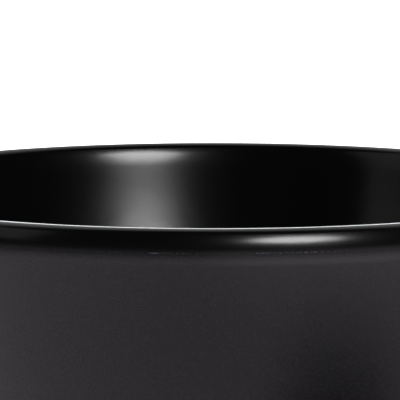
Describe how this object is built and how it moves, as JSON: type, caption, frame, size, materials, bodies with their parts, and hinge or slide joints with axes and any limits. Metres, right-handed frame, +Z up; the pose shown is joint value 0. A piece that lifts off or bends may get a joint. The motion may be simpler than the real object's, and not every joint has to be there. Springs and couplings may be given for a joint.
{
  "type": "empty candle jar",
  "caption": "Open round tapered glass candle jar with a thick base, a rounded lip, a satin black lining and a matt black outside.",
  "frame": {"origin": "on the jar's axis, at the level of the surface it stands on", "axes": "+Z up along the jar's axis, out of its mouth; the jar is round, so X and Y are any two directions across it"},
  "size_m": [0.08, 0.08, 0.09],
  "materials": {
    "glass": "clear pressed soda-lime glass, fire-polished, bare only on the heel, the bearing ring and the punt",
    "satin_lacquer": "satin black sprayed lacquer, fine orange peel, soft reflections",
    "matt_lacquer": "matt black sprayed lacquer, very smooth, broad dim reflections"
  },
  "bodies": {
    "root": {"glass_body": "glass", "inner_coating": "satin_lacquer", "outer_coating": "matt_lacquer"}
  },
  "joints": []
}
